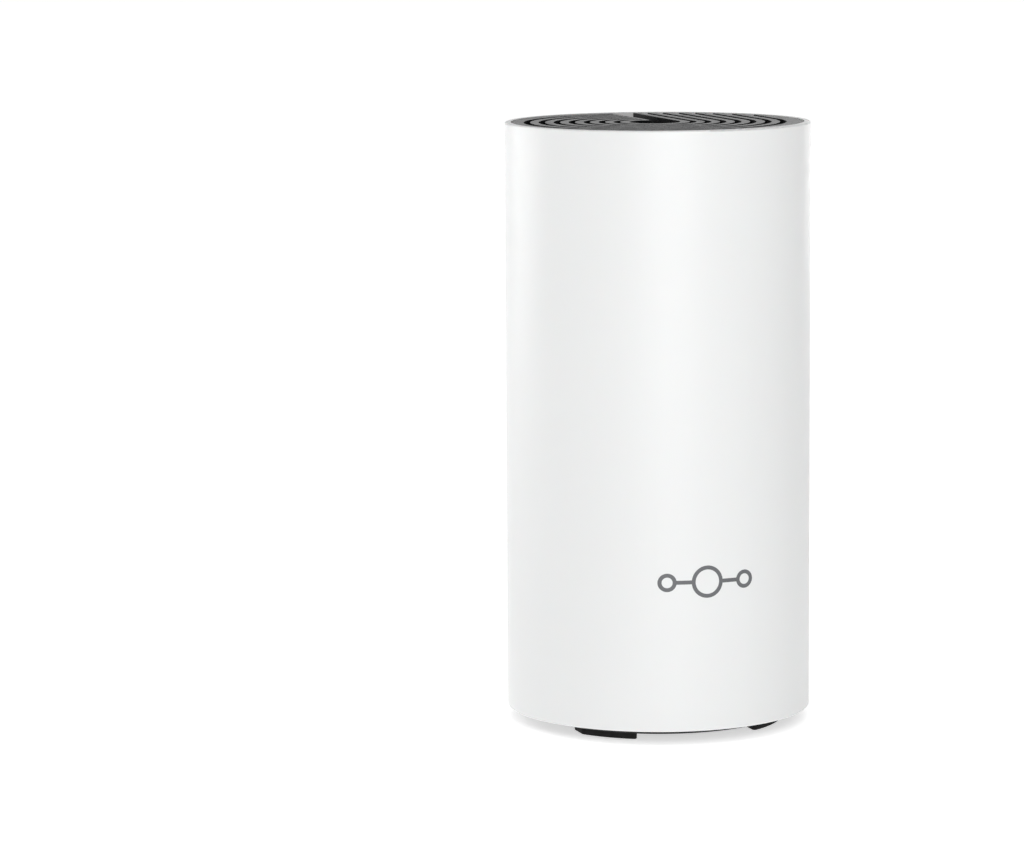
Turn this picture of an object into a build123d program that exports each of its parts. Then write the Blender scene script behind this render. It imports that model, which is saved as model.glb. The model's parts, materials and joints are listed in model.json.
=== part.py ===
"""Mesh wifi node: a tall white cylinder with a ribbed black vent cap, standing on four rubber feet.

Millimetres. The feet stand on z = 0, the axis of the cylinder is the Z axis, the front faces -Y
and the sockets face +Y. Every separate piece of the object is written to its own STEP file.
"""
from build123d import *
import os
from math import cos, radians, sin

# ---------------------------------------------------------------- driving dimensions
overall_diameter = 93.5
overall_height = 184.5
sleeve_wall = 1.95
fit_gap = 0.1

# ---------------------------------------------------------------- shell
outer_r = overall_diameter / 2
bore_r = outer_r - sleeve_wall
inside_r = bore_r - fit_gap
foot_height = 1.7
plinth_drop = 2.3
sleeve_bottom = foot_height + plinth_drop
sleeve_edge_round = 0.5

# ---------------------------------------------------------------- vent cap
cap_top = overall_height - 0.2
cap_turn = 1.0
cap_plate = 3.5
cap_plate_bottom = cap_top - cap_plate
cap_skirt_wall = 1.8
cap_skirt_bottom = overall_height - 15.5
slot_centre_x = -0.8
slot_pitch = 4.57
slot_width = 2.0
slot_count = 7
first_slot_r = 11.7
mouth_r = 7.8
mouth_side_x = 0.6
mouth_depth = 9.0
mouth_wall = 1.2
spoke_count = 8
spoke_width = 2.0
spoke_depth = 3.0
hub_r = first_slot_r - slot_width / 2
middle_ring_r = hub_r + 16

# ---------------------------------------------------------------- base
base_wall = 2.4
base_floor_top = foot_height + base_wall
plinth_r = 38.4
flange_bottom = sleeve_bottom + 0.4
flange_top = flange_bottom + base_wall
foot_sides = {
    "front_right": (1, -1),
    "front_left": (-1, -1),
    "rear_right": (1, 1),
    "rear_left": (-1, 1),
}
foot_x = (18.7, 32.3)
foot_turn = 1.8
foot_inner_y = 13.0
foot_outer_r = plinth_r - 0.1
foot_corner = 0.9
foot_recess = 0.8
foot_top = foot_height + foot_recess
screw_circle_r = 33.4
screw_angle = 44.0
screw_angles = (screw_angle, -screw_angle, 180 - screw_angle, 180 + screw_angle)
screw_head = 1.8
screw_head_gap = 0.1
screw_bottom = foot_top + screw_head_gap
boss_r = 4.5
vent_row_pitch = 4.0
vent_row_count = 4
vent_row_length = 22.0
vent_row_width = 2.0
first_vent_row = 18.5
label_size = (44.0, 20.0)
label_centre_y = 2.0
label_thickness = 0.2

# ---------------------------------------------------------------- inner frame
frame_ring_bottom = 8.0
sleeve_lip_r = 40.5
board_bottom = 12.4
board_thickness = 1.6
board_top = board_bottom + board_thickness
frame_ring_outer_r = 41.5
frame_ring_inner_r = 28.6
frame_top = cap_skirt_bottom
frame_top_ring_height = 3.0
frame_r = bore_r - 0.5
rail_half_width = 5.0
rail_inner_x = 36.2
antenna_plate_r = 38.0
antenna_plate_thickness = 2.0
antenna_plate_width = 16.0
antenna_plate_bottom = 105.0
antenna_angles = (45, 135, 225, 315)
antenna_thickness = 0.8
antenna_span = (110.0, 160.0)
antenna_half_width = 7.0
antenna_slot_count = 3
lead_r = 0.55
lead_clearance = 1.4

# ---------------------------------------------------------------- boards
io_board_r = 41.0
io_board_front = -22.0
io_board_back = 31.8
main_board_half_width = 37.0
main_board_bottom = 16.0
main_board_top = 160.0
half_board = board_thickness / 2

# ---------------------------------------------------------------- port bay
window_half_width = 28.0
window_bottom = 11.5
window_top = 31.5
window_round = 4.0
bay_wall = 1.5
panel_face_y = 34.0
panel_thickness = 1.6
panel_back_y = panel_face_y - panel_thickness
bezel_setback = 0.25
jack_size = (16.0, 21.0, 13.4)
jack_front_y = panel_face_y - 0.4
jack_centres = {"left": 7.5, "right": -10.0}
jack_wall = 0.3
plug_width = 11.8
plug_height = 6.8
plug_floor = 3.4
plug_depth = 14.0
latch_width = 6.2
latch_height = 2.2
contact_count = 8
contact_pitch = 1.02
dc_x = 21.5
dc_z = board_top + 5.6
dc_body = (9.0, 13.3, 11.0)
dc_nose_r = 3.9
dc_bore_r = 3.0
dc_pin_r = 1.05

# ---------------------------------------------------------------- buttons
running_gap = 0.08
pair_x = -23.3
pair_z = 19.0
pair_cap_r = 2.5
reset_x = -14.0
reset_y = -12.5
reset_r = 1.4
reset_guide_top = 6.8
reset_collar_top = 7.7
switch_stem_r = 1.75
switch_stem_gap = 0.1
switch_stem_reach = 1.6
switch_well = 3.0
pair_switch_back = 24.4
pair_switch_face = 28.0
reset_switch_bottom = board_bottom - 3.5

# ---------------------------------------------------------------- cooling stack
chip_height = 1.2
inner_pad_height = 0.8
can_wall = 0.2
outer_pad_height = 1.0
chip_face = half_board + chip_height
can_inside_face = chip_face + inner_pad_height
can_face = can_inside_face + can_wall
sink_face = can_face + outer_pad_height
sink_plate = 3.0
sink_half_width = 29.0
sink_bottom = 45.0
sink_top = 150.0
fin_reach = 22.0
fin_pitch = 4.0
fin_thickness = 1.6
fin_count = 15
sink_screw_x = 25.0
sink_screw_z = (sink_bottom + 6, sink_top - 6)
sink_pillar_r = 3.0
sink_pocket_r = 4.2


# ---------------------------------------------------------------- helpers
def block(x_span, y_span, z_span):
    """A box between two limits along each axis."""
    spans = (x_span, y_span, z_span)
    centre = [(low + high) / 2 for low, high in spans]
    sizes = [high - low for low, high in spans]
    return Pos(*centre) * Box(*sizes)


def disc(radius, z_span, x=0.0, y=0.0):
    """A solid cylinder standing along Z."""
    low, high = z_span
    return Pos(x, y, (low + high) / 2) * Cylinder(radius, high - low)


def ring(outer, inner, z_span, x=0.0, y=0.0):
    """A tube standing along Z."""
    return disc(outer, z_span, x, y) - disc(inner, z_span, x, y)


def rod(radius, y_span, x, z):
    """A solid cylinder lying along Y."""
    low, high = y_span
    return Pos(x, (low + high) / 2, z) * Rot(90, 0, 0) * Cylinder(radius, high - low)


def around(angle, radius):
    """Plan position at an angle from the front, towards +X."""
    return radius * sin(radians(angle)), -radius * cos(radians(angle))


def window_prism(margin, y_span):
    """The rounded rectangle of the port window, made smaller by a margin, as a bar along Y."""
    low, high = y_span
    width = 2 * (window_half_width - margin)
    height = window_top - window_bottom - 2 * margin
    outline = RectangleRounded(width, height, window_round - margin)
    centre_z = (window_bottom + window_top) / 2
    face = Plane(origin=(0, high, centre_z), x_dir=(1, 0, 0), z_dir=(0, -1, 0)) * outline
    return extrude(face, high - low)


def screw(head_r, head_height, shank_r, shank_length):
    """A cross-recess screw standing on its head at z = 0, with the shank pointing up."""
    head = disc(head_r, (0, head_height))
    head = fillet(head.edges().sort_by(Axis.Z)[0], head_height * 0.4)
    shank = disc(shank_r, (head_height, head_height + shank_length))
    shank = chamfer(shank.edges().sort_by(Axis.Z)[-1], shank_r * 0.4)
    recess_depth = head_height * 0.5
    arm = head_r * 0.55
    slot = block((-arm, arm), (-0.35, 0.35), (0, recess_depth))
    cross = slot + Rot(0, 0, 90) * slot
    return head + shank - cross


def group(pieces):
    """Several separate solids that belong to one node."""
    return Compound(children=list(pieces))


# ---------------------------------------------------------------- outside
def front_mark():
    """A small printed sign on the front: three linked rings."""
    centre_z = 49.5
    ring_spacing = 12.2
    line = 1.2
    small_r = 2.8
    large_r = 4.9
    sketch = Circle(large_r) - Circle(large_r - line)
    for side in (-1, 1):
        sketch += Pos(side * ring_spacing, 0) * (Circle(small_r) - Circle(small_r - line))
        link_length = ring_spacing - large_r - small_r + line
        link_x = side * (large_r + ring_spacing - small_r) / 2
        sketch += Pos(link_x, 0) * Rectangle(link_length, line)
    face = Plane(origin=(0, -outer_r - 1, centre_z), x_dir=(1, 0, 0), z_dir=(0, 1, 0)) * sketch
    ink = ring(outer_r, outer_r - 0.12, (centre_z - 10, centre_z + 10))
    return extrude(face, outer_r) & ink


def outer_sleeve():
    """The white tube; the base's flange and the inner frame clamp the lip inside its lower end."""
    tube = disc(outer_r, (sleeve_bottom, overall_height))
    tube = fillet(tube.edges().filter_by(GeomType.CIRCLE), sleeve_edge_round)
    tube -= disc(bore_r, (sleeve_bottom, flange_top))
    tube -= disc(sleeve_lip_r, (flange_top, frame_ring_bottom))
    tube -= disc(bore_r, (frame_ring_bottom, overall_height))
    tube -= window_prism(0, (0, outer_r + 1))
    return tube - front_mark()


def slot_outline(inner, outer):
    """A vent slot seen from above: three quarters of a ring, then straight to the back edge."""
    far = outer_r + 5
    back_right = Pos(far / 2, far / 2) * Rectangle(far, far)
    curved = Circle(outer) - Circle(inner) - back_right
    straight = Pos((inner + outer) / 2, far / 2) * Rectangle(outer - inner, far)
    return Rot(0, 0, cap_turn) * Pos(slot_centre_x, 0) * (curved + straight)


def mouth_outline():
    """The round mouth in the middle with its channel to the back edge."""
    far = outer_r + 5
    channel_right = mouth_r + slot_centre_x + 0.5
    channel = Pos((mouth_side_x + channel_right) / 2, far / 2)
    channel *= Rectangle(channel_right - mouth_side_x, far)
    return Rot(0, 0, cap_turn) * (Pos(slot_centre_x, 0) * Circle(mouth_r) + channel)


def mouth_trough():
    """The walls and floor that close the mouth and its channel from below, before it is hollowed."""
    floor_z = cap_top - mouth_depth - mouth_wall
    outline = offset(mouth_outline(), mouth_wall)
    block_below = extrude(Pos(0, 0, floor_z) * outline, cap_plate_bottom - floor_z)
    return block_below & disc(inside_r - cap_skirt_wall / 2, (floor_z, cap_plate_bottom))


def top_grille():
    """The ribbed vent cap: a slotted plate on spokes, with a skirt that stands on the frame."""
    plate = disc(inside_r, (cap_plate_bottom, cap_top))
    plate = chamfer(plate.edges().sort_by(Axis.Z)[-1], 0.25)
    for index in range(slot_count):
        inner = first_slot_r - slot_width / 2 + index * slot_pitch
        cut = slot_outline(inner, inner + slot_width)
        plate -= extrude(Pos(0, 0, cap_plate_bottom) * cut, cap_plate)
    under_span = (cap_plate_bottom - spoke_depth, cap_plate_bottom)
    under = ring(hub_r, mouth_r, under_span, slot_centre_x)
    under += ring(middle_ring_r + spoke_width, middle_ring_r, under_span, slot_centre_x)
    spoke = block((mouth_r + 1.5, inside_r - 1), (-spoke_width / 2, spoke_width / 2), under_span)
    for index in range(spoke_count):
        under += Rot(0, 0, (index + 0.5) * 360 / spoke_count) * spoke
    skirt = ring(inside_r, inside_r - cap_skirt_wall, (cap_skirt_bottom, cap_plate_bottom))
    cap = plate + Rot(0, 0, cap_turn) * under + mouth_trough()
    hollow = extrude(Pos(0, 0, cap_top - mouth_depth) * mouth_outline(), mouth_depth)
    return cap - hollow + skirt


def label_box():
    """The shallow place of the rating label on the underside."""
    half_x, half_y = label_size[0] / 2, label_size[1] / 2
    y_span = (label_centre_y - half_y, label_centre_y + half_y)
    return block((-half_x, half_x), y_span, (foot_height, foot_height + label_thickness))


def base_cover():
    """A plinth under the sleeve, with a flange that the screws pull up against the sleeve's lip."""
    plinth = disc(plinth_r, (foot_height, flange_top))
    plinth = fillet(plinth.edges().sort_by(Axis.Z)[0], 0.4)
    plinth -= disc(plinth_r - base_wall, (base_floor_top, flange_top))
    cover = plinth + ring(inside_r, plinth_r - base_wall, (flange_bottom, flange_top))
    head_top = screw_bottom + screw_head + screw_head_gap
    for side_x, side_y in foot_sides.values():
        cover -= foot(side_x, side_y)
    for angle in screw_angles:
        x, y = around(angle, screw_circle_r)
        cover += disc(boss_r, (base_floor_top, frame_ring_bottom), x, y)
        cover -= disc(3.0, (foot_top, head_top), x, y)
        cover -= disc(1.6, (head_top, frame_ring_bottom), x, y)
    for side in (-1, 1):
        for index in range(vent_row_count):
            y = side * (first_vent_row + index * vent_row_pitch)
            slot = SlotOverall(vent_row_length, vent_row_width)
            cover -= extrude(Pos(0, y, foot_height) * slot, base_wall)
    guide_span = (base_floor_top, reset_guide_top)
    cover += disc(reset_r + 1.6, guide_span, reset_x, reset_y)
    cover -= disc(reset_r + running_gap, (foot_height, reset_guide_top), reset_x, reset_y)
    return cover - label_box()


def foot(side_x, side_y):
    """A rubber pad set into the plinth, with its outer face flush with the plinth's side."""
    x_span = sorted((side_x * foot_x[0], side_x * foot_x[1]))
    y_span = sorted((side_y * foot_inner_y, side_y * outer_r))
    pad = Rot(0, 0, foot_turn) * block(x_span, y_span, (0, foot_top))
    pad &= disc(foot_outer_r, (0, foot_top))
    pad = fillet(pad.edges().filter_by(Axis.Z), foot_corner)
    return chamfer(pad.edges().group_by(Axis.Z)[0], 0.2)


def base_screws():
    """The four screws behind the feet, which hold the base to the inner frame."""
    shank = board_bottom - 0.4 - screw_bottom - screw_head
    one = screw(2.8, screw_head, 1.5, shank)
    places = [around(angle, screw_circle_r) for angle in screw_angles]
    return group([Pos(x, y, screw_bottom) * one for x, y in places])


# ---------------------------------------------------------------- port bay
def port_bezel():
    reach = (panel_back_y, outer_r)
    liner = window_prism(fit_gap, reach) - window_prism(fit_gap + bay_wall, reach)
    liner &= disc(outer_r - bezel_setback, (0, overall_height))
    panel = window_prism(fit_gap, (panel_back_y, panel_face_y))
    bezel = liner + (panel & disc(inside_r, (0, overall_height)))
    half_jack = jack_size[0] / 2 + fit_gap
    jack_z = (board_top - fit_gap, board_top + jack_size[2] + fit_gap)
    for centre in jack_centres.values():
        hole_x = (centre - half_jack, centre + half_jack)
        bezel -= block(hole_x, (panel_back_y, panel_face_y), jack_z)
    bezel -= rod(dc_nose_r + fit_gap, (panel_back_y, panel_face_y), dc_x, dc_z)
    bezel -= rod(pair_cap_r + running_gap, (panel_back_y, panel_face_y), pair_x, pair_z)
    return bezel


def jack_cavity(centre):
    """The space a network plug goes into, with the notch for its latch below."""
    floor_z = board_top + plug_floor
    y_span = (jack_front_y - plug_depth, jack_front_y)
    half = plug_width / 2
    main = block((centre - half, centre + half), y_span, (floor_z, floor_z + plug_height))
    half = latch_width / 2
    notch = block((centre - half, centre + half), y_span, (floor_z - latch_height, floor_z))
    return main + notch


def jack_light_pieces(centre):
    """The two small light pipes above the plug opening."""
    top = board_top + jack_size[2] - 0.9
    pieces = []
    for side in (-1, 1):
        inner = centre + side * 3.4
        outer = centre + side * 6.4
        x_span = (min(inner, outer), max(inner, outer))
        pieces.append(block(x_span, (jack_front_y - 8, jack_front_y), (top - 1.6, top)))
    return pieces


def jack_shield(centre):
    half, depth, height = jack_size[0] / 2, jack_size[1], jack_size[2]
    x_span = (centre - half, centre + half)
    y_span = (jack_front_y - depth, jack_front_y)
    shell = block(x_span, y_span, (board_top, board_top + height))
    inner_x = (centre - half + jack_wall, centre + half - jack_wall)
    inner_y = (jack_front_y - depth + jack_wall, jack_front_y)
    shell -= block(inner_x, inner_y, (board_top + jack_wall, board_top + height - jack_wall))
    return shell


def jack_housing(centre):
    half, depth, height = jack_size[0] / 2, jack_size[1], jack_size[2]
    x_span = (centre - half + jack_wall, centre + half - jack_wall)
    y_span = (jack_front_y - depth + jack_wall, jack_front_y - 0.2)
    body = block(x_span, y_span, (board_top + jack_wall, board_top + height - jack_wall))
    body -= jack_cavity(centre)
    for light in jack_light_pieces(centre):
        body -= light
    return body


def jack_contacts(centre):
    """Eight spring wires that slope down from the roof of the plug opening."""
    roof = board_top + plug_floor + plug_height
    front, back, drop, wire = jack_front_y - 2.5, jack_front_y - 12.0, 1.8, 0.3
    profile = Polygon(
        (front, roof), (back, roof - drop), (back, roof - drop + wire), (front - 1.6, roof), align=None
    )
    pieces = []
    for index in range(contact_count):
        x = centre + (index - (contact_count - 1) / 2) * contact_pitch
        face = Plane(origin=(x - 0.17, 0, 0), x_dir=(0, 1, 0), z_dir=(1, 0, 0)) * profile
        pieces.append(extrude(face, 0.34))
    return group(pieces)


def port_lights():
    pieces = []
    for centre in jack_centres.values():
        pieces += jack_light_pieces(centre)
    return group(pieces)


def dc_housing():
    half, depth, height = dc_body[0] / 2, dc_body[1], dc_body[2]
    y_span = (panel_back_y - depth, panel_back_y)
    body = block((dc_x - half, dc_x + half), y_span, (board_top, board_top + height))
    body += rod(dc_nose_r, (panel_back_y, panel_face_y - 0.2), dc_x, dc_z)
    body -= rod(dc_bore_r, (panel_back_y - 9.0, panel_face_y), dc_x, dc_z)
    return body - rod(dc_pin_r, (panel_back_y - depth, panel_back_y), dc_x, dc_z)


def dc_pin():
    pin = rod(dc_pin_r, (panel_back_y - dc_body[1], panel_face_y - 1.4), dc_x, dc_z)
    return fillet(pin.edges().filter_by(GeomType.CIRCLE).sort_by(Axis.Y)[-1], 0.5)


def dc_spring():
    """The leaf along the roof of the power socket."""
    roof = dc_z + dc_bore_r
    return block((dc_x - 1.0, dc_x + 1.0), (panel_back_y - 8.8, panel_back_y - 1), (roof - 0.55, roof - 0.3))


# ---------------------------------------------------------------- buttons and switches
def pair_button():
    cap = rod(pair_cap_r, (panel_back_y - 0.1, panel_face_y + 0.8), pair_x, pair_z)
    cap = fillet(cap.edges().filter_by(GeomType.CIRCLE).sort_by(Axis.Y)[-1], 0.4)
    flange = rod(pair_cap_r + 0.9, (panel_back_y - 0.9, panel_back_y - 0.1), pair_x, pair_z)
    stem_end = pair_switch_face + switch_stem_reach
    stem = rod(1.2, (stem_end, panel_back_y - 0.9), pair_x, pair_z)
    return cap + flange + stem


def pair_switch():
    y_span = (pair_switch_back, pair_switch_face)
    body = block((pair_x - 3, pair_x + 3), y_span, (board_top, board_top + 8.0))
    well = (pair_switch_face - switch_well, pair_switch_face)
    return body - rod(switch_stem_r + switch_stem_gap, well, pair_x, pair_z)


def pair_switch_plunger():
    y_span = (pair_switch_face - 2.0, pair_switch_face + switch_stem_reach)
    return rod(switch_stem_r, y_span, pair_x, pair_z)


def reset_button():
    """A short pin that stands back in its hole, with a collar that keeps it in the base."""
    collar_bottom = reset_guide_top + 0.1
    pin = disc(reset_r, (foot_height + 1.0, collar_bottom), reset_x, reset_y)
    collar = disc(reset_r + 0.9, (collar_bottom, reset_collar_top), reset_x, reset_y)
    return pin + collar


def reset_switch():
    z_span = (reset_switch_bottom, board_bottom)
    body = block((reset_x - 3, reset_x + 3), (reset_y - 3, reset_y + 3), z_span)
    well = (reset_switch_bottom, reset_switch_bottom + switch_well - 0.1)
    return body - disc(switch_stem_r + switch_stem_gap, well, reset_x, reset_y)


def reset_switch_plunger():
    z_span = (reset_collar_top, reset_switch_bottom + 1.7)
    return disc(switch_stem_r, z_span, reset_x, reset_y)


# ---------------------------------------------------------------- inside
def antenna_plate(angle, z_span):
    half = antenna_plate_width / 2
    y_span = (-antenna_plate_r - antenna_plate_thickness, -antenna_plate_r)
    return Rot(0, 0, angle) * block((-half, half), y_span, z_span)


def inner_frame():
    frame = ring(frame_ring_outer_r, frame_ring_inner_r, (frame_ring_bottom, board_bottom))
    rear_notch = block((-30, 30), (panel_back_y - 0.4, outer_r), (window_bottom - 0.5, board_bottom))
    frame -= rear_notch
    frame += ring(frame_r, antenna_plate_r - 2, (frame_top - frame_top_ring_height, frame_top))
    limit = disc(frame_r, (0, overall_height))
    rail_span = (frame_ring_bottom, frame_top)
    for side in (-1, 1):
        x_span = (min(side * rail_inner_x, side * 45), max(side * rail_inner_x, side * 45))
        rail = block(x_span, (-rail_half_width, rail_half_width), rail_span)
        frame += rail & limit
    for angle in antenna_angles:
        frame += antenna_plate(angle, (antenna_plate_bottom, frame_top))
    for angle in screw_angles:
        x, y = around(angle, screw_circle_r)
        frame -= disc(1.5, (frame_ring_bottom, board_bottom), x, y)
    edge = main_board_half_width
    frame -= block((-edge, edge), (-half_board, half_board), (main_board_bottom, main_board_top))
    return frame - io_board()


def io_board():
    outline = disc(io_board_r, (board_bottom, board_top))
    keep = block((-io_board_r, io_board_r), (io_board_front, io_board_back), (board_bottom, board_top))
    return outline & keep


def board_socket():
    """The slot connector that carries the lower edge of the upright board."""
    body = block((-20, 20), (-3.5, 3.5), (board_top, board_top + 7))
    slot = block((-20, 20), (-half_board, half_board), (main_board_bottom, board_top + 7))
    return body - slot


def main_board():
    half = main_board_half_width
    board = block((-half, half), (-half_board, half_board), (main_board_bottom, main_board_top))
    for x in (-sink_screw_x, sink_screw_x):
        for z in sink_screw_z:
            board -= rod(1.5, (-half_board, half_board), x, z)
    lower = main_board_bottom + 8
    for side in (-1, 1):
        x_span = (min(side * 20, side * half), max(side * 20, side * half))
        board -= block(x_span, (-half_board, half_board), (main_board_bottom, lower))
    return board


def heat_sink(side):
    """A finned plate in front of (side -1) or behind (side 1) the upright board."""
    plate_far = sink_face + sink_plate
    z_span = (sink_bottom, sink_top)
    sink = block((-sink_half_width, sink_half_width), (sink_face, plate_far), z_span)
    for index in range(fin_count):
        x = (index - (fin_count - 1) / 2) * fin_pitch
        fin = block((x - fin_thickness / 2, x + fin_thickness / 2), (plate_far, fin_reach), z_span)
        sink += fin
    for x in (-sink_screw_x, sink_screw_x):
        for z in sink_screw_z:
            sink += rod(sink_pillar_r, (half_board, sink_face), x, z)
            sink -= rod(sink_pocket_r, (plate_far, fin_reach), x, z)
            sink -= rod(1.5, (half_board, plate_far), x, z)
    if side < 0:
        return mirror(sink, Plane.XZ)
    return sink


def heat_sink_screws():
    """Long screws from the front sink through the board into the rear sink."""
    one = screw(2.8, 2.0, 1.5, 2 * (sink_face + sink_plate) - 0.5)
    head_y = -(sink_face + sink_plate + 2.0)
    turned = Rot(-90, 0, 0) * one
    return group(
        [Pos(x, head_y, z) * turned for x in (-sink_screw_x, sink_screw_x) for z in sink_screw_z]
    )


def on_board(side, x, z, width, height, depth_span):
    """A box on the front (side -1) or back (side 1) of the upright board."""
    near, far = depth_span
    y_span = (min(side * near, side * far), max(side * near, side * far))
    return block((x - width / 2, x + width / 2), y_span, (z - height / 2, z + height / 2))


def shield_can(side, x, z, width, height):
    outside = on_board(side, x, z, width, height, (half_board, can_face))
    wall = 2 * can_wall
    inside = on_board(side, x, z, width - wall, height - wall, (half_board, can_inside_face))
    return outside - inside


def antenna(angle):
    """A printed antenna strip with its tuning slots, on the outer face of its plate."""
    inner = antenna_plate_r + antenna_plate_thickness
    y_span = (-inner - antenna_thickness, -inner)
    strip = block((-antenna_half_width, antenna_half_width), y_span, antenna_span)
    for index in range(antenna_slot_count):
        z = antenna_span[0] + 12 * (index + 1)
        strip -= block((-antenna_half_width, antenna_half_width - 4), y_span, (z, z + 1.2))
    return Rot(0, 0, angle) * strip


def cable_points(angle):
    """The run of an antenna lead: down behind the strip, then in to the edge of the board."""
    x, y = around(angle, antenna_plate_r + antenna_plate_thickness + lead_clearance)
    side_x = 1 if x > 0 else -1
    side_y = 1 if y > 0 else -1
    height = 94 if y > 0 else 98
    return [
        (x, y, 116),
        (x, y, height),
        (side_x * 33, side_y * 12, height),
        (side_x * 33, side_y * (half_board + lead_clearance), height),
    ]


def antenna_lead(angle):
    path = FilletPolyline(*cable_points(angle), radius=3)
    section = Plane(origin=path @ 0, z_dir=path % 0) * Circle(lead_r)
    return sweep(section, path=path)


def antenna_sockets():
    pieces = []
    for angle in antenna_angles:
        x, y, z = cable_points(angle)[-1]
        side_y = 1 if y > 0 else -1
        depth = (half_board, half_board + lead_clearance)
        pieces.append(on_board(side_y, x, z, 3.0, 3.0, depth))
    return group(pieces)


def status_led():
    return block((-1.5, 1.5), (io_board_front, io_board_front + 1.6), (board_top, board_top + 1.2))


def light_guide():
    """A clear bar that carries the status light to the inside of the sleeve."""
    bar = block((-3, 3), (-outer_r, io_board_front - 0.2), (board_bottom + 0.4, board_bottom + 3.4))
    return bar & disc(inside_r, (0, overall_height))


def can_capacitors():
    body = disc(4.0, (board_top, board_top + 11.5))
    body = fillet(body.edges().sort_by(Axis.Z)[-1], 0.6)
    return group([Pos(x, y, 0) * body for x, y in ((-28, -8), (28, -8), (28, 6))])


def power_coil():
    body = block((-32, -22), (3, 13), (board_top, board_top + 5))
    return fillet(body.edges().filter_by(Axis.Z), 1.5)


def lan_transformers():
    return group([block((x - 7.5, x + 7.5), (5.0, 11.8), (board_top, board_top + 4.0)) for x in (-10, 8)])


# ---------------------------------------------------------------- every node
chip_layout = {
    "main_processor": (-1, 0, 108, 19, 19),
    "memory_chip": (-1, 15, 84, 11, 14),
    "flash_chip": (-1, -15, 84, 9, 8),
    "radio_chip_2g": (1, 0, 118, 11, 11),
    "radio_chip_5g": (1, 0, 74, 13, 13),
}
can_layout = {
    "processor_shield": (-1, 0, 96, 46, 52),
    "radio_shield_2g": (1, 0, 118, 40, 32),
    "radio_shield_5g": (1, 0, 76, 40, 36),
}
pad_layout = {
    "processor_pads": "main_processor",
    "radio_pads_2g": "radio_chip_2g",
    "radio_pads_5g": "radio_chip_5g",
}

nodes = {
    "outer_sleeve": outer_sleeve(),
    "front_mark": front_mark(),
    "top_grille": top_grille(),
    "base_cover": base_cover(),
    "rating_label": label_box(),
    "base_screws": base_screws(),
    "port_bezel": port_bezel(),
    "port_lights": port_lights(),
    "dc_jack_housing": dc_housing(),
    "dc_jack_pin": dc_pin(),
    "dc_jack_spring": dc_spring(),
    "pair_button": pair_button(),
    "pair_switch": pair_switch(),
    "pair_switch_plunger": pair_switch_plunger(),
    "reset_button": reset_button(),
    "reset_switch": reset_switch(),
    "reset_switch_plunger": reset_switch_plunger(),
    "inner_frame": inner_frame(),
    "io_board": io_board(),
    "board_socket": board_socket(),
    "main_board": main_board(),
    "front_heat_sink": heat_sink(-1),
    "rear_heat_sink": heat_sink(1),
    "heat_sink_screws": heat_sink_screws(),
    "antenna_sockets": antenna_sockets(),
    "status_led": status_led(),
    "light_guide": light_guide(),
    "can_capacitors": can_capacitors(),
    "power_coil": power_coil(),
    "lan_transformers": lan_transformers(),
}

for name, sides in foot_sides.items():
    nodes[f"foot_{name}"] = foot(*sides)
for side, centre in jack_centres.items():
    nodes[f"lan_jack_shield_{side}"] = jack_shield(centre)
    nodes[f"lan_jack_housing_{side}"] = jack_housing(centre)
    nodes[f"lan_jack_contacts_{side}"] = jack_contacts(centre)
for name, angle in zip(("front_right", "rear_right", "rear_left", "front_left"), antenna_angles):
    nodes[f"antenna_{name}"] = antenna(angle)
    nodes[f"antenna_lead_{name}"] = antenna_lead(angle)
for name, (side, x, z, width, height) in chip_layout.items():
    nodes[name] = on_board(side, x, z, width, height, (half_board, chip_face))
for name, layout in can_layout.items():
    nodes[name] = shield_can(*layout)
for name, chip in pad_layout.items():
    side, x, z, width, height = chip_layout[chip]
    inner = on_board(side, x, z, width, height, (chip_face, can_inside_face))
    outer = on_board(side, x, z, width + 6, height + 6, (can_face, sink_face))
    nodes[name] = group([inner, outer])

os.makedirs("parts", exist_ok=True)
for name, shape in nodes.items():
    export_step(shape, f"parts/{name}.step")
print(len(nodes), "nodes written")
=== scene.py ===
import json
import math

import bpy
from mathutils import Matrix, Vector


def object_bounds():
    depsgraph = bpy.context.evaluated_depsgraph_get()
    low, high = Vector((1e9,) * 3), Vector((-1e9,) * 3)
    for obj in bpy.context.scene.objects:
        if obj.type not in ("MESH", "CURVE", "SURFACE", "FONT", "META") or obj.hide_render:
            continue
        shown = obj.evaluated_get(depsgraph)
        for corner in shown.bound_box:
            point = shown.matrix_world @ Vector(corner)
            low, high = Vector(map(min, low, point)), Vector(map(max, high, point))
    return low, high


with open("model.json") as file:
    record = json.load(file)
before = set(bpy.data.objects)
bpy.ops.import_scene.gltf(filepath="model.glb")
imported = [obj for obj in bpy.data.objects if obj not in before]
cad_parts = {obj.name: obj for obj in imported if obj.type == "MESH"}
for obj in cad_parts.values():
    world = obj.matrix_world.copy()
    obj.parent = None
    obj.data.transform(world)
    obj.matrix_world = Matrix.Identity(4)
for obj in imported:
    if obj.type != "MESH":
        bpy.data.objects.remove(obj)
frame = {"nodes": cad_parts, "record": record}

scene = bpy.context.scene
nodes = frame["nodes"]
cad_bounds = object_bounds()

# ---------------------------------------------------------------- sizes, all from the frame
base_z = cad_bounds[0].z
top_z = cad_bounds[1].z
height = top_z - base_z
diameter = cad_bounds[1].x - cad_bounds[0].x

# ---------------------------------------------------------------- view: degrees, and lens in mm
view_azimuth = -16.5
view_pitch = 7.76
view_roll = -0.34
view_distance = 14.1 * diameter
view_side_step = 0.481 * diameter
view_above_top = 0.901 * diameter
lens_length = 151.7
sensor_width = 36

# ---------------------------------------------------------------- floor and fill light
floor_reach = 65 * height
floor_colour = (0.82, 0.82, 0.82)
near_glow = 0.58
far_glow = 0.85
near_glow_reach = 8 * diameter
far_glow_reach = 30 * diameter
fill_strength = 0.2

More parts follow.
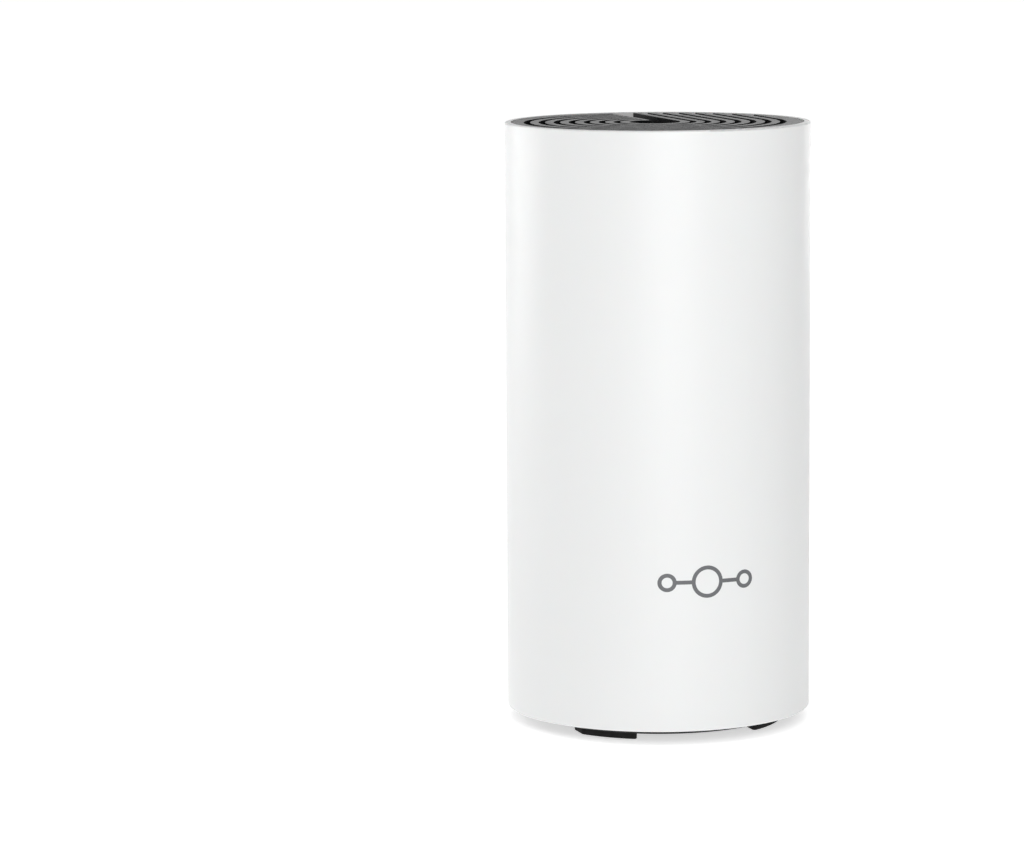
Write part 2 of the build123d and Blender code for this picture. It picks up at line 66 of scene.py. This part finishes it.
# ---------------------------------------------------------------- sockets of Blender's colour Mix node
mix_first_input = 6
mix_second_input = 7
mix_colour_output = 2


# ---------------------------------------------------------------- camera
def make_camera():
    """The photograph's view: a long lens a little above the top, with the front turned to the right."""
    azimuth = math.radians(view_azimuth)
    pitch = math.radians(view_pitch)
    roll = math.radians(view_roll)
    ahead = Vector((-math.sin(azimuth), math.cos(azimuth), 0))
    right = Vector((ahead.y, -ahead.x, 0))
    place = -view_distance * ahead - view_side_step * right
    place.z = top_z + view_above_top
    forward = ahead * math.cos(pitch) - Vector((0, 0, math.sin(pitch)))
    up = right.cross(forward)
    turned_right = right * math.cos(roll) + up * math.sin(roll)
    turned_up = up * math.cos(roll) - right * math.sin(roll)
    data = bpy.data.cameras.new("camera")
    data.sensor_width = sensor_width
    data.lens = lens_length
    data.clip_start = 0.05
    data.clip_end = 20
    camera = bpy.data.objects.new("camera", data)
    axes = Matrix((turned_right, turned_up, -forward)).transposed()
    camera.matrix_world = Matrix.Translation(place) @ axes.to_4x4()
    scene.collection.objects.link(camera)
    scene.camera = camera


# ---------------------------------------------------------------- material tools
class Nodes:
    """A small helper that builds one material's node tree."""

    def __init__(self, name):
        self.material = bpy.data.materials.new(name)
        self.material.use_nodes = True
        self.tree = self.material.node_tree
        self.tree.nodes.clear()
        self.shader = self.add("ShaderNodeBsdfPrincipled")
        output = self.add("ShaderNodeOutputMaterial")
        self.link(self.shader.outputs["BSDF"], output.inputs["Surface"])
        self.place = self.add("ShaderNodeTexCoord").outputs["Object"]

    def add(self, kind, **settings):
        node = self.tree.nodes.new(kind)
        for key, value in settings.items():
            setattr(node, key, value)
        return node

    def link(self, source, target):
        self.tree.links.new(source, target)

    def noise(self, scale, detail=3.0, stretch=None):
        """Noise over the piece, with an optional stretch along each axis; scale is per metre."""
        node = self.add("ShaderNodeTexNoise")
        node.inputs["Scale"].default_value = scale
        node.inputs["Detail"].default_value = detail
        place = self.place
        if stretch is not None:
            mapping = self.add("ShaderNodeMapping")
            mapping.inputs["Scale"].default_value = stretch
            self.link(place, mapping.inputs["Vector"])
            place = mapping.outputs["Vector"]
        self.link(place, node.inputs["Vector"])
        return node.outputs["Fac"]

    def ramp(self, factor, low, high, start=0.3, end=0.7):
        """Goes from low to high as the factor goes from start to end."""
        node = self.add("ShaderNodeMapRange")
        node.inputs["From Min"].default_value = start
        node.inputs["From Max"].default_value = end
        node.inputs["To Min"].default_value = low
        node.inputs["To Max"].default_value = high
        self.link(factor, node.inputs["Value"])
        return node.outputs["Result"]

    def blend(self, factor, first, second):
        """Mixes two colours, each of them a tuple or a socket."""
        node = self.add("ShaderNodeMix", data_type="RGBA")
        self.link(factor, node.inputs["Factor"])
        for index, colour in ((mix_first_input, first), (mix_second_input, second)):
            if isinstance(colour, tuple):
                node.inputs[index].default_value = (*colour, 1.0)
            else:
                self.link(colour, node.inputs[index])
        return node.outputs[mix_colour_output]

    def edges(self, radius, low=0.02, high=0.3):
        """1 on sharp edges and 0 on flat faces: how far a small bevel would turn the surface."""
        bevel = self.add("ShaderNodeBevel", samples=4)
        bevel.inputs["Radius"].default_value = radius
        geometry = self.add("ShaderNodeNewGeometry")
        dot = self.add("ShaderNodeVectorMath", operation="DOT_PRODUCT")
        self.link(bevel.outputs["Normal"], dot.inputs[0])
        self.link(geometry.outputs["Normal"], dot.inputs[1])
        return self.ramp(dot.outputs["Value"], 1.0, 0.0, 1 - high, 1 - low)

    def bump(self, factor, depth):
        """Raises the surface by the factor; depth is in metres."""
        node = self.add("ShaderNodeBump")
        node.inputs["Strength"].default_value = 1.0
        node.inputs["Distance"].default_value = depth
        self.link(factor, node.inputs["Height"])
        self.link(node.outputs["Normal"], self.shader.inputs["Normal"])

    def colour(self, value):
        """Sets the base colour to a tuple or links it to a socket."""
        if isinstance(value, tuple):
            self.shader.inputs["Base Color"].default_value = (*value, 1.0)
        else:
            self.link(value, self.shader.inputs["Base Color"])

    def roughness(self, value):
        """Links the roughness to a socket."""
        self.link(value, self.shader.inputs["Roughness"])

    def set(self, **values):
        """Sets the shader's own sockets to uniform numbers or colours."""
        for key, value in values.items():
            self.shader.inputs[key.replace("_", " ")].default_value = value


def shade(colour, factor):
    """A lighter (factor over 1) or darker version of a colour."""
    return tuple(min(1.0, channel * factor) for channel in colour)


# ---------------------------------------------------------------- materials
def moulded_plastic(name, colour, rough, grain=2200.0, grain_depth=0.00002, edge_highlight_radius=0.00025, lift=1.6):
    """Moulded plastic with a fine spark texture, a cloudy gloss and a painted highlight: its edges are
    painted lighter by lift.
    """
    kit = Nodes(name)
    cloud = kit.noise(60, 4)
    base = kit.blend(cloud, shade(colour, 0.93), shade(colour, 1.07))
    # Painted highlight: the sharp edges are painted lighter, standing in for light caught on them.
    base = kit.blend(kit.edges(edge_highlight_radius), base, shade(colour, lift))
    kit.colour(base)
    kit.roughness(kit.ramp(kit.noise(220, 5), rough - 0.05, rough + 0.06))
    kit.bump(kit.noise(grain, 2), grain_depth)
    return kit.material


def shell_white():
    """Satin white plastic: even colour, a very fine texture, a soft gloss and a painted highlight on
    its edges.
    """
    kit = Nodes("shell_white")
    white = (0.735, 0.742, 0.740)
    edge_highlight_white = (0.77, 0.775, 0.775)
    cloud = kit.noise(18, 3)
    base = kit.blend(cloud, shade(white, 0.985), shade(white, 1.012))
    # Painted highlight: the sharp edges are painted a lighter white.
    base = kit.blend(kit.edges(0.0003), base, edge_highlight_white)
    kit.colour(base)
    kit.roughness(kit.ramp(kit.noise(140, 5), 0.30, 0.38))
    kit.bump(kit.noise(3800, 2), 0.000006)
    kit.set(IOR=1.46, Subsurface_Weight=0.04, Subsurface_Scale=0.002)
    return kit.material


def vent_plastic():
    """The vent cap's black plastic: almost no colour of its own, a soft sheen at low angles and a
    painted highlight on its edges.
    """
    kit = Nodes("vent_black")
    black = (0.0075, 0.008, 0.009)
    base = kit.blend(kit.noise(90, 4), shade(black, 0.9), shade(black, 1.1))
    # Painted highlight: the edges, the rib edges among them, are painted three times lighter.
    base = kit.blend(kit.edges(0.0002), base, shade(black, 3.0))
    kit.colour(base)
    kit.roughness(kit.ramp(kit.noise(260, 5), 0.24, 0.32))
    kit.bump(kit.noise(2600, 2), 0.000008)
    kit.set(Specular_IOR_Level=0.07)
    return kit.material


def rubber():
    """Matt black rubber with a grainy skin and some grey dust."""
    kit = Nodes("foot_rubber")
    dark = (0.010, 0.010, 0.010)
    dust_grey = (0.04, 0.039, 0.037)
    base = kit.blend(kit.noise(300, 5), dark, shade(dark, 1.5))
    dust = kit.ramp(kit.noise(900, 6), 0.0, 0.4, 0.60, 0.78)
    base = kit.blend(dust, base, dust_grey)
    kit.colour(base)
    kit.roughness(kit.ramp(kit.noise(500, 4), 0.62, 0.82))
    kit.bump(kit.noise(2600, 3), 0.00004)
    kit.set(Specular_IOR_Level=0.2)
    return kit.material


def printed_ink():
    """Grey ink with a slightly uneven cover."""
    kit = Nodes("mark_ink")
    grey = (0.115, 0.118, 0.124)
    kit.colour(kit.blend(kit.noise(1500, 3), shade(grey, 0.9), shade(grey, 1.12)))
    kit.roughness(kit.ramp(kit.noise(900, 3), 0.42, 0.5))
    kit.bump(kit.noise(5000, 2), 0.000004)
    return kit.material


def label_film():
    """A blank silver-grey label with faint printing texture."""
    kit = Nodes("label_film")
    silver = (0.50, 0.51, 0.52)
    kit.colour(kit.blend(kit.noise(700, 4, (1, 6, 1)), shade(silver, 0.93), shade(silver, 1.05)))
    kit.roughness(kit.ramp(kit.noise(400, 4), 0.34, 0.46))
    kit.bump(kit.noise(3000, 3), 0.000006)
    return kit.material


def metal(name, colour, rough, grain=(1, 1, 1), scratch_depth=0.000006):
    """Bare or plated metal with drawn grain, patchy gloss and a painted highlight on its edges."""
    kit = Nodes(name)
    drawn = kit.noise(900, 5, grain)
    base = kit.blend(drawn, shade(colour, 0.86), shade(colour, 1.08))
    # Painted highlight: the sharp edges are painted lighter.
    base = kit.blend(kit.edges(0.0002), base, shade(colour, 1.25))
    kit.colour(base)
    kit.roughness(kit.ramp(kit.noise(260, 5, grain), rough - 0.07, rough + 0.1))
    kit.bump(drawn, scratch_depth)
    kit.set(Metallic=1.0)
    return kit.material


def clear_plastic():
    """Clear, slightly milky plastic for the light pipes and the light guide."""
    kit = Nodes("clear_plastic")
    milky = (0.80, 0.83, 0.84)
    kit.colour(kit.blend(kit.noise(500, 3), shade(milky, 0.95), shade(milky, 1.05)))
    kit.roughness(kit.ramp(kit.noise(700, 3), 0.2, 0.32))
    kit.bump(kit.noise(2500, 2), 0.000008)
    kit.set(Transmission_Weight=0.55, IOR=1.49)
    return kit.material


def circuit_board():
    """Green solder mask over copper tracks, with plated holes."""
    kit = Nodes("circuit_board")
    mask_green = (0.012, 0.085, 0.04)
    track_green = (0.022, 0.15, 0.065)
    hole_gold = (0.45, 0.36, 0.16)
    tracks = kit.add("ShaderNodeTexBrick")
    tracks.inputs["Scale"].default_value = 260
    tracks.inputs["Mortar Size"].default_value = 0.06
    tracks.inputs["Color1"].default_value = (0, 0, 0, 1)
    tracks.inputs["Color2"].default_value = (0.15, 0.15, 0.15, 1)
    tracks.inputs["Mortar"].default_value = (1, 1, 1, 1)
    kit.link(kit.place, tracks.inputs["Vector"])
    base = kit.blend(tracks.outputs["Color"], mask_green, track_green)
    holes = kit.add("ShaderNodeTexVoronoi")
    holes.inputs["Scale"].default_value = 240
    kit.link(kit.place, holes.inputs["Vector"])
    plated = kit.ramp(holes.outputs["Distance"], 1.0, 0.0, 0.10, 0.13)
    base = kit.blend(plated, base, hole_gold)
    kit.colour(base)
    kit.roughness(kit.ramp(kit.noise(500, 4), 0.28, 0.42))
    kit.bump(tracks.outputs["Fac"], 0.00002)
    return kit.material


def thermal_pad():
    """Soft blue-grey silicone pad."""
    kit = Nodes("thermal_pad")
    blue = (0.30, 0.38, 0.50)
    kit.colour(kit.blend(kit.noise(900, 6), shade(blue, 0.85), shade(blue, 1.12)))
    kit.roughness(kit.ramp(kit.noise(600, 4), 0.6, 0.75))
    kit.bump(kit.noise(1800, 4), 0.00003)
    return kit.material


slot_materials = {
    "white_shell": shell_white(),
    "vent_black": vent_plastic(),
    "base_black": moulded_plastic("base_black", (0.011, 0.011, 0.012), 0.5, lift=2.0),
    "foot_rubber": rubber(),
    "mark_ink": printed_ink(),
    "label_paper": label_film(),
    "screw_steel": metal("screw_steel", (0.48, 0.48, 0.50), 0.3),
    "shield_steel": metal("shield_steel", (0.62, 0.61, 0.59), 0.26, (1, 1, 8)),
    "socket_plastic": moulded_plastic("socket_plastic", (0.02, 0.02, 0.021), 0.3, grain=3000),
    "contact_gold": metal("contact_gold", (0.83, 0.60, 0.22), 0.22, (8, 1, 1)),
    "clear_plastic": clear_plastic(),
    "button_plastic": moulded_plastic("button_plastic", (0.11, 0.113, 0.117), 0.4, lift=1.5),
    "switch_plastic": moulded_plastic("switch_plastic", (0.05, 0.05, 0.05), 0.45),
    "frame_plastic": moulded_plastic("frame_plastic", (0.028, 0.028, 0.03), 0.5),
    "board_laminate": circuit_board(),
    "sink_aluminium": metal("sink_aluminium", (0.07, 0.07, 0.075), 0.42, (1, 1, 6)),
    "chip_resin": moulded_plastic("chip_resin", (0.03, 0.03, 0.032), 0.5, grain=4200),
    "pad_silicone": thermal_pad(),
    "lead_jacket": moulded_plastic("lead_jacket", (0.04, 0.04, 0.043), 0.35),
    "capacitor_can": metal("capacitor_can", (0.62, 0.62, 0.63), 0.3),
    "coil_ferrite": moulded_plastic(
        "coil_ferrite", (0.07, 0.07, 0.072), 0.6, grain=1400.0, grain_depth=0.00004
    ),
}


def paint_nodes():
    """Gives every CAD node the material of its slot."""
    for entry in frame["record"]["subparts"]:
        piece = nodes[entry["node"]]
        material = slot_materials[entry["material_slot"]]
        if not piece.material_slots:
            piece.data.materials.append(material)
        for holder in piece.material_slots:
            holder.material = material


# ---------------------------------------------------------------- floor and light
def make_floor():
    """A wide pale floor under the feet, which glows more far away, where no soft box lights it."""
    mesh = bpy.data.meshes.new("floor")
    turns = ((-1, -1), (1, -1), (1, 1), (-1, 1))
    corners = [(x * floor_reach, y * floor_reach, 0) for x, y in turns]
    mesh.from_pydata(corners, [], [(0, 1, 2, 3)])
    floor = bpy.data.objects.new("floor", mesh)
    floor.location.z = base_z
    scene.collection.objects.link(floor)
    kit = Nodes("pale_floor")
    kit.colour(floor_colour)
    kit.set(Roughness=0.9, Specular_IOR_Level=0.1, Emission_Color=(1, 1, 1, 1))
    distance = kit.add("ShaderNodeVectorMath", operation="LENGTH")
    kit.link(kit.place, distance.inputs[0])
    glow = kit.ramp(distance.outputs["Value"], near_glow, far_glow, near_glow_reach, far_glow_reach)
    kit.link(glow, kit.shader.inputs["Emission Strength"])
    mesh.materials.append(kit.material)


# Each soft box: its turn from the camera's side towards the right and its rise (degrees), its
# distance, width and height (in heights of the object), and its radiance.
soft_boxes = {
    "key": (7, 14, 8.1, 5.4, 6.5, 3.65),
    "left_side": (-120, 14, 8.1, 5.4, 6.5, 2.9),
    "back_right": (158, 14, 8.1, 4.3, 6.5, 1.15),
    "back_left": (-158, 14, 8.1, 4.3, 6.5, 0.4),
    "back_middle": (180, 12, 13.5, 6.0, 4.9, 0.65),
    "overhead": (0, 88, 8.7, 6.5, 6.5, 1.6),
}


def soft_box(name, turn, rise, distance, width, tall, radiance):
    """A soft box that faces the middle of the object and doesn't show itself."""
    azimuth = math.radians(view_azimuth + turn)
    elevation = math.radians(rise)
    level = math.cos(elevation)
    direction = Vector((math.sin(azimuth) * level, -math.cos(azimuth) * level, math.sin(elevation)))
    data = bpy.data.lights.new(name, "AREA")
    data.shape = "RECTANGLE"
    data.size = width * height
    data.size_y = tall * height
    data.energy = radiance * math.pi * data.size * data.size_y
    light = bpy.data.objects.new(name, data)
    light.location = direction * distance * height + Vector((0, 0, base_z + height / 2))
    light.rotation_euler = (-direction).to_track_quat("-Z", "Y").to_euler()
    light.visible_camera = False
    scene.collection.objects.link(light)


def make_light():
    """An even white fill from all round, and the soft boxes."""
    world = bpy.data.worlds.new("studio")
    world.use_nodes = True
    background = world.node_tree.nodes["Background"]
    background.inputs["Color"].default_value = (1.0, 1.0, 1.0, 1.0)
    background.inputs["Strength"].default_value = fill_strength
    scene.world = world
    for name, setting in soft_boxes.items():
        soft_box(name, *setting)


make_camera()
paint_nodes()
make_floor()
make_light()
scene.view_settings.view_transform = "Standard"
